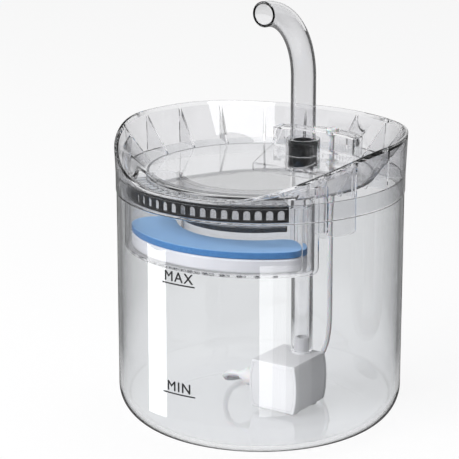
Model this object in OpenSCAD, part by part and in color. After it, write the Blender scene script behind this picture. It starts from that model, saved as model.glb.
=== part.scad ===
// Pet water fountain: a clear round tank with a clear drinking tray as its lid,
// a gooseneck spout, a hanging filter box and a small submersible pump.
// Millimetres. Z is up from the tank's underside, the front faces -Y, and angles
// called "from the front" are measured about Z from -Y towards +X.

/* [Tank] */
// Outer radius of the tank wall
tank_r = 83.6; // [81:0.1:88]
// Thickness of the tank wall
tank_wall = 2.4; // [2:0.1:3]
// Thickness of the tank floor
tank_floor = 2.8; // [2:0.1:4]
// Outer radius of the rounded bottom edge
tank_fillet = 20; // [12:0.5:26]
// Height of the shoulder under the lid's skirt
shoulder_z = 138; // [130:0.5:142]
// Height of the thin neck above the shoulder
neck_h = 10.4; // [8:0.1:14]
// Thickness of the neck
neck_wall = 1.3; // [1:0.1:1.6]

/* [Lid] */
// Thickness of the lid's skirt and outer wall
skirt_wall = 1.2; // [1:0.1:1.4]
// How far the rim flares out past the skirt
rim_flare = 1; // [0:0.1:2]
// Height of the tray floor above the tank's neck
tray_rise = 0.6; // [0.4:0.1:3]
// Thickness of the tray floor
tray_floor = 1.5; // [1.2:0.1:2.5]
// Width of the sloping tray wall, from the tank's inside to the flat tray floor
tray_inset = 15.2; // [12:0.1:20]
// Thickness of the sloping tray wall
funnel_wall = 1.3; // [1:0.1:2]
// Height of the rim above the tray floor at the front dip
rim_front = 1.2; // [1.1:0.1:4]
// Height of the rim above the tray floor at the sides
rim_side = 24; // [16:0.5:30]
// How much lower the rim is at the rear than at the sides
rim_rear_drop = 2.6; // [0:0.1:6]
// Thickness of the stiffening ribs
rib_t = 1.2; // [0.8:0.1:2]
// Angle from the front of the first rib on each side
rib_first = 72; // [64:1:76]
// Angle between ribs
rib_step = 19.2; // [16:0.1:20]
// Ribs on each side
rib_count = 6; // [3:1:6]

/* [Rear shelf] */
// Width of the raised shelf behind the spout
shelf_w = 57; // [48:1:64]
// Height of the shelf above the tray floor
shelf_h = 10.5; // [8:0.5:13]
// Thickness of the shelf's walls
shelf_t = 1.4; // [1:0.1:2]
// Distance that the drip plate under the tray falls
drip_drop = 8.2; // [5:0.1:9]
// How far the drip plate reaches in front of the spout's upright
drip_fore = 11.9; // [11.5:0.1:16]

/* [Spout] */
// Distance of the spout's upright behind the tank axis
spout_y = 46.5; // [44:0.5:48]
// Outer diameter of the spout tube
spout_d = 15; // [13:0.1:16]
// Wall of the spout tube
spout_wall = 1.5; // [1:0.1:2]
// Radius of the gooseneck along the tube's centre
neck_bend = 44; // [30:0.5:50]
// Height of the upright above the tray floor
upright_h = 46; // [35:0.5:60]
// Wall of the rubber sleeve
sleeve_wall = 1.4; // [1:0.1:2]
// Length of the rubber sleeve
sleeve_l = 17; // [14:0.5:20]
// Wall of the socket that holds the sleeve
socket_wall = 1.3; // [1:0.1:1.8]
// Height of the socket's mouth above the tray floor
socket_up = 9.4; // [8:0.1:12]

/* [Filter] */
// Gap between the filter box and the tank
box_side = 2.2; // [1.6:0.1:4]
// Radius of the pad's two round ends
pad_end_r = 13; // [11:0.1:14]
// Depth of the pad at its middle, from front to back
pad_depth = 24.2; // [20:0.1:27]
// Thickness of the white lower layer
wool_h = 8.2; // [6:0.1:12]
// Thickness of the blue upper layer
foam_h = 4; // [3:0.1:8]
// Gap between the pad and the wall of its box
pad_gap = 2.4; // [2.2:0.1:3]
// Wall of the filter box
box_wall = 1.4; // [1:0.1:1.8]
// Depth of the filter box below the tray floor
box_depth = 42.4; // [36:0.2:46]
// Diameter of the drain holes in the filter box
drain_d = 4; // [2:0.1:5]
// Thickness of the comb strip
comb_t = 1.3; // [0.9:0.1:1.4]
// Height of the comb strip
comb_h = 9.6; // [9:0.1:11]
// Width of one slot in the comb
comb_slot = 3.8; // [2.5:0.1:4]
// Angle between the comb's slots
comb_step = 4.6; // [4.3:0.1:6]
// Slots in the comb
comb_count = 19; // [9:2:19]
// Width of the strainer's top plate
grate_w = 10.1; // [8:0.1:12]

/* [Pump] */
// Width of the pump at mid height
pump_w = 33; // [30:0.5:38]
// Depth of the pump from front to back
pump_d = 35; // [33:0.5:40]
// Height of the pump body
pump_h = 29.5; // [28:0.5:36]
// How far each side bulges between its corners
pump_bulge = 1.8; // [0.5:0.1:3]
// Wall of the pump housing
pump_wall = 1.6; // [1.2:0.1:2]
// Gap under the pump for its rubber feet
pump_lift = 2.2; // [1.6:0.1:5]
// Place of the outlet nozzle to the right of the tank's middle
pump_x = 17; // [12:0.5:20]
// Place of the outlet nozzle behind the tank's middle
pump_y = 20; // [16:0.5:24]
// Outer diameter of the nozzle
nozzle_d = 8.8; // [7:0.1:9.5]
// Length of the nozzle
nozzle_l = 10; // [7:0.5:14]
// Outer diameter of the riser hose
hose_d = 13; // [11.5:0.1:13]
// Wall of the riser hose
hose_wall = 2; // [1.4:0.1:2]
// Diameter of the impeller
impeller_d = 18; // [14:0.5:19]
// Diameter of the rotor magnet
magnet_d = 9; // [7:0.5:10]
// Diameter of the steel shaft
shaft_d = 1.5; // [1:0.1:2]

/* [Lead] */
// Diameter of the pump's lead
lead_d = 3.5; // [3:0.1:3.5]

/* [Hidden] */

clear = [0.86, 0.89, 0.92, 0.35];
smoke = [0.25, 0.26, 0.28, 0.7];
white = [0.96, 0.96, 0.96];
gap = 0.3;              // clearance between pieces that lift apart
fit = 0.05;             // radial clearance of a sliding or turning fit
big = 400;              // longer than the whole part, for cuts that go right through

// Tank
tank_in = tank_r - tank_wall;
neck_out = tank_in + neck_wall;
tank_h = shoulder_z + neck_h;

// Lid
skirt_in = neck_out + gap;
skirt_r = skirt_in + skirt_wall;
tray_r = tank_in - tray_inset;
floor_z = tank_h + tray_rise;
floor_under = floor_z - tray_floor;
rim_in_w = 1.6;
dip_start = 12;
dip_end = 88;
rear_start = 115;
rear_end = 165;
lid_steps = 120;        // sections round the lid's wall

// Spout, sleeve and socket, all on one upright axis
sleeve_d = spout_d + 2 * (fit + sleeve_wall);
socket_in = sleeve_d + 2 * fit;
socket_d = socket_in + 2 * socket_wall;
socket_top = floor_z + socket_up;
sleeve_top = socket_top - 1.4;
sleeve_low = sleeve_top - sleeve_l;
sleeve_step = sleeve_low + 4;
socket_low = sleeve_low - 2;
upright_top = floor_z + upright_h;
drip_y = spout_y - drip_fore;
drip_z = floor_z - drip_drop;
drip_t = 1.4;
drip_lip = 5;

// Filter pad: two round ends joined by an outer arc and a hollow back arc, all tangent
box_gap = pad_gap + box_wall;
box_out = tank_in - box_side;
pad_r = box_out - box_gap;
pad_back = pad_r - pad_depth;
end_c = (pad_r - pad_end_r) * sin(45);
back_sum = pad_end_r + pad_back;
back_y = (back_sum * back_sum - 2 * end_c * end_c) / (2 * (back_sum - end_c));
back_r = pad_back - back_y;
back_a = atan((end_c - back_y) / end_c);
box_low = floor_z - box_depth;
box_floor = box_low + box_wall;
box_top = floor_under - 1.5;
panel_a = 57;
drain_row = box_out - 12.5;
drain_row_2 = drain_row - 2.1 * drain_d;
drain_step = 8;         // angle between drain holes
drain_side = 5;         // drain holes on each side of the middle one
wool_low = box_floor + gap;
foam_low = wool_low + wool_h + 0.1;

// Strainer in the tray's drain opening, and the guides beside it
comb_in = pad_r + pad_gap - comb_t - 0.2;
comb_top = floor_z - 1.4;
comb_low = comb_top - comb_h;
comb_a = 44.5;
grate_in = comb_in - grate_w;
grate_t = 1.4;
lip_h = 0.8;
lip_w = 2.4;
slot_foot = 1.4;        // solid strip under the slots
slot_head = 2.8;        // solid strip over the slots
drain_in = grate_in - 0.6;
drain_out = box_out + 0.4;
drain_a = 50;
guide_a = panel_a + 2.4;
tongue_t = 1.2;
tongue_out = tank_in - 0.7;
guide_in = comb_in - 0.4;
guide_low = shoulder_z - 10;
guard_t = 1.2;
guard_low = foam_low + foam_h + 3.8;
guard_w = 76;

// Pump, measured along its axis from the intake cover at the rear
cover_d = 2.2;
flange_d = nozzle_d + 2;
nozzle_t = cover_d + flange_d / 2 + 0.2;
pump_rear = pump_y + nozzle_t;
pump_cx = pump_x - 3.3;
pump_low = tank_floor + pump_lift;
pump_cz = pump_low + pump_h / 2;
pump_top = pump_low + pump_h;
back_t = 1.6;
volute_t = cover_d + 1.5;
can_t0 = volute_t + 7.4;
can_wall = 1.2;
can_end = pump_d - back_t - 5.4;
bore_r = magnet_d / 2 + 0.5;
can_r = bore_r + 0.9;
flange_r = pump_h / 2 - pump_wall - 0.8;
seal_r = flange_r - 0.8;
seal_t = 0.42;
core_r = pump_h / 2 - pump_wall - 1.4;
bush_r = shaft_d / 2 + 0.8;
inlet_r = 4.6;
intake_slot = [1.2, 12];
intake_step = 3;
blade_t = 0.8;
port_w = 5.2;
pole_w = 2.6;
shoe_w = 6;
yoke_t = 1.6;
coil_w = 5.2;
coil_in = can_r + 1.3;
coil_out = sqrt(pow(core_r - yoke_t, 2) - pow(coil_w / 2, 2)) - gap;
hose_in = hose_d - 2 * hose_wall;
hose_low = pump_top + 1.8;
gland_t = pump_d - 9;
board_t = gland_t + 3.4;
gland_y = pump_rear - gland_t;
collar_l = 7.4;
gland_l = 11.4;
gland_x = pump_cx - pump_w / 2;

// Grommet in the shelf, and the lead from the pump's gland up to it
shelf_top = floor_z + shelf_h;
grommet = [6.4, (tray_r + funnel_r_at(shelf_top)) / 2];
lead_low = tank_floor + lead_d / 2 + gap;
lead_end = gland_x - gland_l;
LEAD = [[gland_x + 1, gland_y, pump_cz], [lead_end, gland_y, pump_cz], [-20, 2.5, 19.4],
        [-25, 4.5, 17.6], [-30, 8.5, 14.4], [-34, 14, 10.8], [-36, 20, 7.6], [-36.5, 27, 5.6],
        [-34.5, 34, lead_low], [-30.5, 40.5, lead_low], [-24.5, 46, lead_low],
        [-17, 50.5, 5.3], [-9, 54.5, 6.4], [-2, 59, 9.6], [3, 63.6, 15.6], [5.8, 67.2, 24],
        [6.6, 69.2, 34], [6.6, 70, 46], [6.5, 70, 60], [6.4, 70, 80], [6.4, 70, 100],
        [6.4, 70, 120], [6.4, 70, 140], [grommet[0], grommet[1], shelf_top + 1]];

// ---------------------------------------------------------------- helpers
function smooth(a, lo, hi) = let (t = min(1, max(0, (a - lo) / (hi - lo)))) t * t * (3 - 2 * t);
function arc(c, r, a0, a1, n) = [for (i = [0:n]) let (a = a0 + (a1 - a0) * i / n)
    [c[0] + r * cos(a), c[1] + r * sin(a)]];
// height of the rim at an angle from the front
function rim_z(a) = floor_z + rim_front + (rim_side - rim_front) * smooth(abs(a), dip_start, dip_end)
    - rim_rear_drop * smooth(abs(a), rear_start, rear_end);
function wrap(a) = a > 180 ? a - 360 : a;
function rim_r(h) = skirt_r + rim_flare * (h - tank_h) / (rim_side + tray_rise);
// height of the funnel's top face at radius r where the rim is h high
function funnel_z(r, h) = floor_z + (r - tray_r) * (h - floor_z) / (rim_r(h) - rim_in_w - tray_r);
function funnel_drop(h) = funnel_wall * norm([rim_r(h) - rim_in_w - tray_r, h - floor_z])
    / (rim_r(h) - rim_in_w - tray_r);

// closed solid through rings of points, with flat ends or joined into a loop
module loft(rings, loop = false) {
    n = len(rings);
    m = len(rings[0]);
    pts = [for (r = rings) each r];
    last = loop ? n - 1 : n - 2;
    sides = [for (i = [0:last], j = [0:m - 1], k = [0, 1])
        let (up = (i + 1) % n, next = (j + 1) % m,
             a = i * m + j, b = i * m + next, c = up * m + next, d = up * m + j)
        k == 0 ? [a, b, c] : [a, c, d]];
    caps = loop ? [] : [[for (j = [m - 1:-1:0]) j], [for (j = [0:m - 1]) (n - 1) * m + j]];
    polyhedron(points = pts, faces = concat(sides, caps), convexity = 12);
}
// round tube swept along points: each ring is square to the path there
function unit(v) = v / norm(v);
function tangent(p, i) = unit(p[min(i + 1, len(p) - 1)] - p[max(i - 1, 0)]);
function side_of(t) = unit(cross(t, abs(t[2]) < 0.8 ? [0, 0, 1] : [0, 1, 0]));
function turn(u, t) = unit(u - (u * t) * t);
function frames(p, i = 0, u = undef) = let (t = tangent(p, i), v = i == 0 ? side_of(t) : turn(u, t))
    i == len(p) - 1 ? [[t, v]] : concat([[t, v]], frames(p, i + 1, v));
function tube_rings(p, r, n) = let (f = frames(p)) [for (i = [0:len(p) - 1])
    let (u = f[i][1], w = cross(f[i][0], u))
    [for (j = [0:n - 1]) let (a = 360 * j / n) p[i] + r * (cos(a) * u + sin(a) * w)]];
module swept(p, r, n) { loft([for (ring = tube_rings(p, r, n)) [for (j = [n - 1:-1:0]) ring[j]]]); }
// the pad's outline, grown by g
function crescent(g) = concat(
    arc([0, 0], pad_r + g, -135, -45, 30),
    arc([end_c, -end_c], pad_end_r + g, -37, 180 - back_a, 22),
    arc([0, -back_y], back_r - g, -back_a - 4, -180 + back_a, 24),
    arc([-end_c, -end_c], pad_end_r + g, back_a + 8, 219, 22));
module crescent_block(g, z0, z1) { translate([0, 0, z0]) linear_extrude(z1 - z0) polygon(crescent(g)); }
// ring from z0 to z1
module pipe(r_out, r_in, z0, z1) {
    difference() {
        translate([0, 0, z0]) cylinder(r = r_out, h = z1 - z0, $fn = 96);
        translate([0, 0, z0 - 1]) cylinder(r = r_in, h = z1 - z0 + 2, $fn = 96);
    }
}
// part of a ring between two angles from the front
module sector(r_out, r_in, a0, a1, z0, z1) {
    intersection() {
        pipe(r_out, r_in, z0, z1);
        translate([0, 0, z0 - 1]) linear_extrude(z1 - z0 + 2)
            polygon([[0, 0], [big * sin(a0), -big * cos(a0)], [big * sin(a1), -big * cos(a1)]]);
    }
}
// height of the funnel's underside at radius r and an angle from the front
function under_z(r, a) = let (h = rim_z(a)) funnel_z(r, h) - funnel_drop(h);
// curved upright panel from z0 up to the funnel, its corners rounded by c degrees and c millimetres
function corner(a, a0, a1, c) = let (t = max(0, a0 + c - a, a - a1 + c) / c)
    c * (1 - sqrt(1 - t * t));
module panel(r_out, r_in, a0, a1, z0, lift, c) {
    n = 24;
    turns = [for (i = [0:n]) a0 + (a1 - a0) * i / n];
    top = [for (a = turns) [r_out * sin(a), under_z(r_in, a) + lift - corner(a, a0, a1, c)]];
    foot = [for (i = [n:-1:0]) [r_out * sin(turns[i]), z0 + corner(turns[i], a0, a1, c)]];
    intersection() {
        pipe(r_out, r_in, z0, floor_z + rim_side);
        rotate([90, 0, 0]) linear_extrude(big) polygon(concat(top, foot));
    }
}
// the pump's outline seen along its axis, shrunk by w
function barrel(w) = let (hw = pump_w / 2 - w, hh = pump_h / 2 - w, c = 0.8, s = pump_bulge,
    r = (hh * hh + s * s) / (2 * s), a = asin((hh - c) / r), x = hw - r + r * cos(a) - c)
    concat([[x, -hh]], arc([hw - r, 0], r, -a, a, 12), [[x, hh], [-x, hh]],
           arc([r - hw, 0], r, 180 - a, 180 + a, 12), [[-x, -hh]]);
module barrel_block(w, t0, t1) { translate([0, 0, t0]) linear_extrude(t1 - t0) polygon(barrel(w)); }
// the pump is drawn standing on its intake, then laid down with the intake to the rear
module in_pump() { translate([pump_cx, pump_rear, pump_cz]) rotate([90, 0, 0]) children(); }
module disc(r, t0, t1) { translate([0, 0, t0]) cylinder(r = r, h = t1 - t0, $fn = 48); }

// ---------------------------------------------------------------- tank
module tank() color(clear) {
    rotate_extrude($fn = 180) polygon(concat([[0, 0]],
        arc([tank_r - tank_fillet, tank_fillet], tank_fillet, -90, 0, 12),
        [[tank_r, shoulder_z], [neck_out, shoulder_z], [neck_out, tank_h], [tank_in, tank_h]],
        arc([tank_r - tank_fillet, tank_fillet - tank_wall + tank_floor],
            tank_fillet - tank_wall, 0, -90, 12),
        [[0, tank_floor]]));
}

// ---------------------------------------------------------------- lid
function lid_ring(a) = let (h = rim_z(a), r = rim_r(h), ri = r - rim_in_w, rw = ri - 0.3)
    [for (q = [[skirt_in, shoulder_z + gap], [skirt_r, shoulder_z + gap], [skirt_r, tank_h], [r, h - 0.5],
               [r - 0.5, h], [ri + 0.4, h], [ri, h - 0.3], [tray_r, floor_z], [tray_r - 1.5, floor_z],
               [tray_r - 1.5, floor_under], [tray_r + 0.5, floor_under],
               [rw, funnel_z(rw, h) - funnel_drop(h)], [skirt_in, min(h - 2, tank_h + 0.4)]])
     [q[0] * sin(a), -q[0] * cos(a), q[1]]];
module rib(a) {
    h = rim_z(a);
    rw = rim_r(h) - rim_in_w - 0.1;
    rotate([0, 0, a]) translate([rib_t / 2, 0, 0]) rotate([90, 0, -90]) linear_extrude(rib_t)
        polygon([[tray_r + 1.2, floor_under + 0.4], [rw, funnel_z(rw, h) - funnel_drop(h) + 0.2],
                 [skirt_in + 0.4, h - 3], [skirt_in + 0.4, tank_h + gap],
                 [tray_r + 2, tank_h + gap]]);
}
// guide under the tray for one end of the filter box's front panel
module tongue(side) {
    mirror([side < 0 ? 1 : 0, 0, 0]) {
        low = guide_low + 2;
        panel(tongue_out, tongue_out - tongue_t, guide_a - 3, rib_first + 1.5, guide_low, 0.6, 2);
        sector(tongue_out - 0.1, guide_in, guide_a, guide_a + 1.2,
               low, under_z(guide_in, guide_a) + 0.6);
        sector(guide_in + tongue_t, guide_in, guide_a - 3.8, guide_a + 1,
               low, under_z(guide_in, guide_a - 3.8) + 0.5);
    }
}
// radius at which the rear of the funnel is z high
function funnel_r_at(z) = let (h = rim_z(180))
    tray_r + (z - floor_z) * (rim_r(h) - rim_in_w - tray_r) / (h - floor_z);
// block that fills the shelf, smaller by w at its sides and top
module shelf(w) {
    intersection() {
        translate([-shelf_w / 2 + w, tray_r / 2, floor_under - 1])
            cube([shelf_w - 2 * w, big, shelf_h + tray_floor + 1 - w]);
        translate([0, 0, -1]) cylinder(r = funnel_r_at(shelf_top) + 0.3, h = big, $fn = 180);
    }
}
module lid_shell() {
    loft([for (i = [0:lid_steps - 1]) lid_ring(wrap(i * 360 / lid_steps))], loop = true);
}
module drip_plate() {
    rear = sqrt(tray_r * tray_r - shelf_w * shelf_w / 4);
    inner = -drip_y - drip_t;
    translate([shelf_w / 2, 0, 0]) rotate([90, 0, -90]) linear_extrude(shelf_w)
        polygon([[-rear, floor_under + 0.2], [inner, drip_z - drip_t], [inner, drip_z - drip_lip],
                 [-drip_y, drip_z - drip_lip], [-drip_y, drip_z], [-rear, floor_under + drip_t]]);
}
module lid() color(clear) {
    difference() {
        union() {
            lid_shell();
            translate([0, 0, floor_under]) cylinder(r = tray_r - 1, h = tray_floor, $fn = 180);
            difference() {
                shelf(0);
                translate([0, 0, -1]) cylinder(r = tray_r - shelf_t, h = big, $fn = 180);
            }
            translate([0, spout_y, socket_low])
                cylinder(d = socket_d, h = socket_top - socket_low, $fn = 64);
            drip_plate();
        }
        difference() {
            shelf(shelf_t);
            translate([0, 0, -1]) cylinder(r = tray_r, h = big, $fn = 180);
        }
        translate([0, spout_y, socket_low - 1]) cylinder(d = socket_in, h = big, $fn = 64);
        sector(drain_out, drain_in, -drain_a, drain_a, shoulder_z, big);
        translate([grommet[0], grommet[1], shelf_top - 4]) cylinder(d = lead_d + 2, h = 8, $fn = 32);
    }
    for (s = [-1, 1]) {
        tongue(s);
        for (k = [0:rib_count - 1]) rib(s * (rib_first + k * rib_step));
    }
}

// ---------------------------------------------------------------- spout and its sleeve
module elbow(r) {
    translate([0, spout_y - neck_bend, upright_top]) rotate([90, 0, 90])
        rotate_extrude(angle = 90, $fn = 96) translate([neck_bend, 0]) circle(r = r, $fn = 48);
}
module spout() color(clear) {
    r = spout_d / 2;
    foot = sleeve_step + 0.2;
    difference() {
        union() {
            translate([0, spout_y, foot]) cylinder(r = r, h = upright_top - foot, $fn = 48);
            elbow(r);
        }
        translate([0, spout_y, foot - 1])
            cylinder(r = r - spout_wall, h = upright_top - foot + 1, $fn = 48);
        elbow(r - spout_wall);
    }
}
module spout_sleeve() color([0.05, 0.05, 0.05]) {
    translate([0, spout_y, 0]) {
        pipe(sleeve_d / 2, spout_d / 2 + fit, sleeve_step, sleeve_top);
        pipe(sleeve_d / 2, hose_d / 2 + fit, sleeve_low, sleeve_step);
    }
}

// ---------------------------------------------------------------- filter box
module filter_box() color(clear) {
    difference() {
        crescent_block(box_gap, box_low, box_top);
        crescent_block(pad_gap, box_floor, big);
        for (k = [-drain_side:drain_side], row = [drain_row, drain_row_2]) {
            if (row == drain_row || abs(k) < drain_side)
                rotate([0, 0, k * drain_step]) translate([0, -row, box_low - 1])
                    cylinder(d = drain_d, h = box_wall + 2, $fn = 24);
        }
    }
    panel(box_out + 0.1, pad_r + pad_gap + 0.2, -panel_a, panel_a, box_low + 0.2, -gap, 4);
    // ledge that the strainer stands on
    sector(pad_r + pad_gap + 0.3, comb_in - 0.3, -comb_a, comb_a,
           comb_low - gap - comb_t, comb_low - gap);
}
// the back of the pad's outline, between two distances from it
module back_strip(out, in, z0, z1) {
    intersection() {
        difference() { crescent_block(out, z0, z1); crescent_block(in, z0 - 1, z1 + 1); }
        translate([-guard_w / 2, -pad_back - 2, z0 - 1]) cube([guard_w, pad_back, z1 - z0 + 2]);
    }
}
module back_guard() color(smoke) {
    back_strip(pad_gap - gap, pad_gap - gap - guard_t, guard_low, box_top + 1.1);
    back_strip(box_gap, pad_gap - gap - guard_t, box_top + 0.1, box_top + 1.1);
}
module comb_strainer() color(smoke) {
    arch = comb_h - slot_foot - slot_head - comb_slot / 2;
    difference() {
        union() {
            sector(comb_in + comb_t, comb_in, -comb_a, comb_a, comb_low, comb_top);
            sector(comb_in + 0.2, grate_in, -comb_a, comb_a, comb_top - grate_t, comb_top);
        }
        for (k = [0:comb_count - 1]) rotate([0, 0, (k - (comb_count - 1) / 2) * comb_step]) {
            translate([0, -comb_in + 3, comb_low + slot_foot]) rotate([90, 0, 0]) linear_extrude(8) {
                translate([-comb_slot / 2, 0]) square([comb_slot, arch]);
                translate([0, arch]) circle(d = comb_slot, $fn = 24);
            }
            translate([-comb_slot / 2, -comb_in + 1.6, comb_top - grate_t - 1])
                cube([comb_slot, comb_in - grate_in - 3.2, grate_t + 2]);
        }
    }
    // lip that rests on the tray floor
    sector(grate_in + 1.2, grate_in, -comb_a, comb_a, comb_top - 0.2, floor_z + 0.1 + lip_h);
    sector(grate_in + 1.2, drain_in - lip_w, -comb_a, comb_a,
           floor_z + 0.1, floor_z + 0.1 + lip_h);
}
module filter_foam() color([0.45, 0.65, 0.87]) crescent_block(0, foam_low, foam_low + foam_h);
module filter_wool() color(white) {
    difference() {
        crescent_block(0, wool_low, wool_low + wool_h);
        crescent_block(-3, wool_low + 1.5, wool_low + wool_h - 1.5);
    }
}
module carbon_bed() color([0.12, 0.12, 0.12])
    crescent_block(-3.2, wool_low + 1.7, wool_low + wool_h - 1.7);

// ---------------------------------------------------------------- pump
module riser_hose() color(clear) {
    z1 = sleeve_step - 0.2;
    z0 = hose_low;
    rise = z1 - z0;
    ends = 16;
    path = [for (i = [0:24])
        let (z = z0 + rise * i / 24, s = min(1, max(0, (z - z0 - ends) / (rise - 2 * ends))),
             m = (1 - cos(180 * s)) / 2)
        [pump_x * (1 - m), pump_y + (spout_y - pump_y) * m, z]];
    difference() {
        swept(path, hose_d / 2, 24);
        swept(concat([path[0] - [0, 0, 2]], path, [path[24] + [0, 0, 2]]), hose_in / 2, 24);
    }
}
module pump_housing() color(white) in_pump() {
    difference() {
        union() {
            barrel_block(0, cover_d, pump_d);
            translate([pump_x - pump_cx, pump_h / 2 - 1, nozzle_t]) rotate([-90, 0, 0]) {
                cylinder(d = flange_d, h = 2.2, $fn = 48);
                cylinder(d = nozzle_d, h = nozzle_l + 1, $fn = 48);
            }
        }
        barrel_block(pump_wall, cover_d - 1, can_t0);
        barrel_block(pump_wall, can_t0 + can_wall + 1.2, pump_d + 1);
        disc(flange_r + fit, can_t0 - 1, can_t0 + can_wall);
        disc(flange_r - 1.6, can_t0 - 1, pump_d);
        translate([pump_x - pump_cx, pump_h / 2 - 4, nozzle_t]) rotate([-90, 0, 0])
            cylinder(d = nozzle_d - 3, h = big, $fn = 48);
        translate([-pump_w / 2 - 4, 0, gland_t]) rotate([0, 90, 0])
            cylinder(d = 6.2, h = 8, $fn = 32);
    }
}
module pump_back() color(white) in_pump() barrel_block(pump_wall + fit, pump_d - back_t, pump_d);
module pump_cover() color(white) in_pump() {
    difference() {
        union() {
            barrel_block(0, 0, cover_d - 0.1);
            barrel_block(pump_wall + 0.15, cover_d - 0.2, cover_d + 1.2);
        }
        barrel_block(pump_wall + 1.2, 1.2, cover_d + 2);
        for (k = [-3:3])
            translate([k * intake_step - intake_slot[0] / 2, -intake_slot[1] / 2, -1])
                cube([intake_slot[0], intake_slot[1], 4]);
    }
}
module impeller_cover() color(white) in_pump() {
    hub = bush_r + 1;
    difference() {
        disc(flange_r - 0.3, volute_t, can_t0 - gap);
        disc(flange_r - 1.5, volute_t + 1.2, can_t0);
        difference() {
            disc(inlet_r, volute_t - 1, volute_t + 2);
            disc(hub, volute_t - 2, volute_t + 3);
            for (a = [30, 150, 270]) rotate([0, 0, a])
                translate([hub - 0.5, -0.6, volute_t - 2]) cube([inlet_r, 1.2, 5]);
        }
        disc(bush_r, volute_t - 2, volute_t + 3);
        translate([pump_x - pump_cx - port_w / 2, 4, volute_t + 1.8])
            cube([port_w, 12, can_t0 - volute_t - 2.8]);
    }
}
module impeller() color(white) in_pump() {
    difference() {
        union() {
            disc(2.4, volute_t + 1.8, can_t0 + 0.6);
            disc(impeller_d / 2, can_t0 - 1.8, can_t0 - 0.8);
            intersection() {
                disc(impeller_d / 2, volute_t + 1.8, can_t0 - 0.8);
                for (k = [0:5]) rotate([0, 0, k * 60])
                    translate([1.6, -blade_t / 2, volute_t + 1.8])
                        cube([12, blade_t, can_t0 - volute_t - 3]);
            }
        }
        disc(shaft_d / 2 + fit, volute_t, can_t0 + 4);
    }
}
module rotor_magnet() color([0.2, 0.2, 0.22]) in_pump() {
    difference() {
        disc(magnet_d / 2, can_t0 + 0.6, can_end - 2.4);
        disc(shaft_d / 2 + fit, can_t0, can_end);
    }
}
module rotor_shaft() color("silver") in_pump() disc(shaft_d / 2, volute_t, can_end - can_wall);
module shaft_bushes() color([0.1, 0.1, 0.1]) in_pump() {
    difference() {
        union() {
            disc(bush_r, volute_t, volute_t + 1.5);
            disc(bush_r, can_end - can_wall - 0.9, can_end - can_wall);
        }
        disc(shaft_d / 2, 0, pump_d);
    }
}
module rotor_can() color([0.9, 0.9, 0.9]) in_pump() {
    difference() {
        union() {
            disc(flange_r, can_t0, can_t0 + can_wall);
            disc(can_r, can_t0, can_end);
        }
        disc(bore_r, can_t0 - 1, can_end - can_wall);
        translate([0, 0, can_t0 + can_wall - 2 * seal_t]) rotate_extrude($fn = 64)
            translate([seal_r - 0.5, 0]) square([1, 1]);
    }
}
module can_seal() color([0.1, 0.1, 0.1]) in_pump() {
    translate([0, 0, can_t0 + can_wall - seal_t]) rotate_extrude($fn = 64)
        translate([seal_r, 0]) circle(r = seal_t - 0.02, $fn = 24);
}
// one pole of the motor, turned to its place
module poles() { for (k = [0:3]) rotate([0, 0, 45 + k * 90]) children(); }
module stator_core() color([0.55, 0.56, 0.6]) in_pump() {
    t0 = can_t0 + 5;
    t1 = can_end - 1;
    difference() {
        union() {
            difference() {
                disc(core_r, t0, t1);
                disc(core_r - yoke_t, t0 - 1, t1 + 1);
            }
            poles() translate([can_r - 1, -pole_w / 2, t0])
                cube([core_r - can_r + 0.2, pole_w, t1 - t0]);
            poles() translate([can_r - 1, -shoe_w / 2, t0]) cube([2, shoe_w, t1 - t0]);
        }
        disc(can_r + 0.1, t0 - 1, t1 + 1);
    }
}
module stator_coils() color([0.72, 0.38, 0.16]) in_pump() {
    poles() difference() {
        translate([coil_in, -coil_w / 2, can_t0 + 4.2])
            cube([coil_out - coil_in, coil_w, can_end - can_t0 - 4.4]);
        translate([can_r + 1, -pole_w / 2 - 0.1, can_t0 + 4.9])
            cube([4, pole_w + 0.2, can_end - can_t0 - 5.8]);
    }
}
module circuit_board() color([0.1, 0.35, 0.2]) in_pump() {
    barrel_block(pump_wall + gap, board_t, board_t + 1);
    translate([-3, -2, board_t + 0.9]) cube([6, 4, 1.1]);
    translate([5, -4, board_t + 0.9]) cube([3, 3, 1.3]);
}
module cable_gland() color(white) {
    translate([gland_x, gland_y, pump_cz]) rotate([0, -90, 0]) difference() {
        union() {
            translate([0, 0, -2.6]) cylinder(d = 6.1, h = 3.2, $fn = 48);
            translate([0, 0, 0.1]) cylinder(d = 11, h = collar_l, $fn = 48);
            translate([0, 0, collar_l]) cylinder(d1 = 7.6, d2 = 6, h = gland_l - collar_l, $fn = 48);
        }
        translate([0, 0, -3]) cylinder(d = lead_d + 0.1, h = 20, $fn = 32);
    }
}

// ---------------------------------------------------------------- lead
module pump_lead() color(white) swept(LEAD, lead_d / 2, 8);
module lead_grommet() color([0.85, 0.85, 0.85]) {
    translate([grommet[0], grommet[1], shelf_top]) difference() {
        union() {
            translate([0, 0, 0.1]) cylinder(d = lead_d + 4, h = 1.2, $fn = 32);
            translate([0, 0, -shelf_t - 1.2]) cylinder(d = lead_d + 1.9, h = shelf_t + 1.6, $fn = 32);
            translate([0, 0, -shelf_t - 1.3]) cylinder(d = lead_d + 4, h = 1.2, $fn = 32);
        }
        translate([0, 0, -5]) cylinder(d = lead_d + 0.1, h = 10, $fn = 32);
    }
}
module pump_feet() color([0.85, 0.85, 0.85]) {
    for (x = [-1, 1], y = [pump_rear - 7, pump_rear - pump_d + 7])
        translate([pump_cx + x * 9, y, tank_floor + gap])
            cylinder(d1 = 8, d2 = 5, h = pump_lift - gap, $fn = 32);
}

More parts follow.
